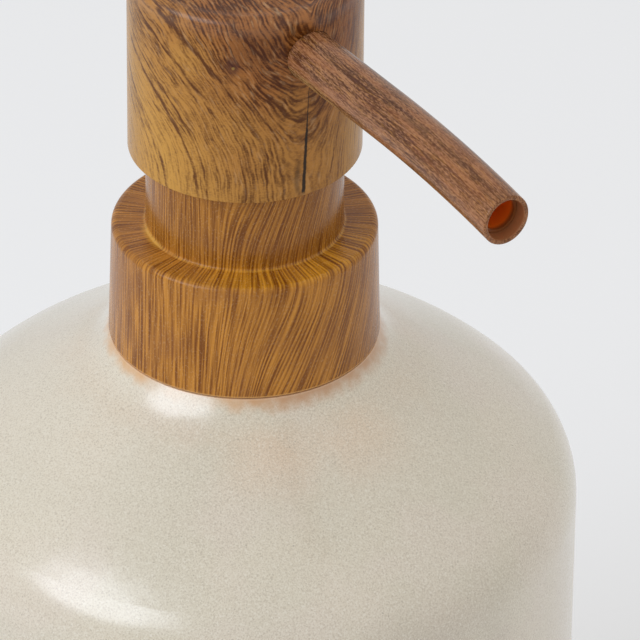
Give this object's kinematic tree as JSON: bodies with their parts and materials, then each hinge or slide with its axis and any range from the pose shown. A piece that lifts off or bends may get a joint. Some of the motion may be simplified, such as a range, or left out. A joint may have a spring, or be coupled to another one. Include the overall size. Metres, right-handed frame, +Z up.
{
  "type": "soap pump dispenser",
  "caption": "Round glazed stoneware soap bottle with a screwed-on wood-look pump: collar, press-down turning head and a slim spout.",
  "frame": {"origin": "on the table at the bottle's axis, in the plane of its foot ring", "axes": "+Z up along the axis of bottle and pump, +X along the spout at rest"},
  "size_m": [0.1013, 0.0874, 0.1605],
  "materials": {
    "glazed_stoneware": "glossy cream glaze with fine speckle",
    "wood_look": "satin wood-look film on plastic",
    "wood_look_spout": "satin darker wood-look film on plastic",
    "orange_plastic": "glossy orange-red",
    "white_plastic": "moulded, matt",
    "natural_plastic": "moulded, milky",
    "piston_plastic": "moulded, soft",
    "tube_plastic": "extruded, milky",
    "clear_adhesive": "cured adhesive",
    "seal_rubber": "soft grey seal",
    "spring_steel": "drawn stainless wire",
    "ball_steel": "polished stainless"
  },
  "bodies": {
    "bottle": {"bottle": "glazed_stoneware", "neck_insert": "white_plastic", "insert_bond": "clear_adhesive"},
    "pump": {"housing": "natural_plastic", "chaplet": "natural_plastic", "gasket": "seal_rubber", "ball_cage": "natural_plastic", "spring": "spring_steel", "dip_tube": "tube_plastic"},
    "collar": {"collar": "wood_look", "closure": "white_plastic"},
    "inlet_ball": {"check_ball": "ball_steel"},
    "piston": {"piston": "piston_plastic"},
    "head": {"head_shell": "wood_look", "head_core": "white_plastic", "spout": "wood_look_spout", "spout_liner": "orange_plastic", "stem": "white_plastic", "piston_rod": "natural_plastic"}
  },
  "joints": [
    {"name": "pump_rise", "type": "slide", "parent": "bottle", "child": "pump", "axis": [0, 0, 1], "range_m": [0, 0.00635]},
    {"name": "collar_unscrew", "type": "hinge", "parent": "pump", "child": "collar", "pos_m": [0, 0, 0.1145], "axis": [0, 0, 1], "range_deg": [0, 540]},
    {"name": "ball_lift", "type": "slide", "parent": "pump", "child": "inlet_ball", "axis": [0, 0, 1], "range_m": [0, 0.0012]},
    {"name": "pump_press", "type": "slide", "parent": "pump", "child": "piston", "axis": [0, 0, -1], "range_m": [0, 0.0104], "stiffness_N_per_m": 1200, "springref_m": -0.005, "deforming": ["spring"]},
    {"name": "head_turn", "type": "hinge", "parent": "piston", "child": "head", "pos_m": [0, 0, 0.147], "axis": [0, 0, 1], "continuous": true}
  ],
  "couplings": [
    {"joint": "pump_rise", "follows": "collar_unscrew", "m_per_rad": 0.00067375}
  ]
}
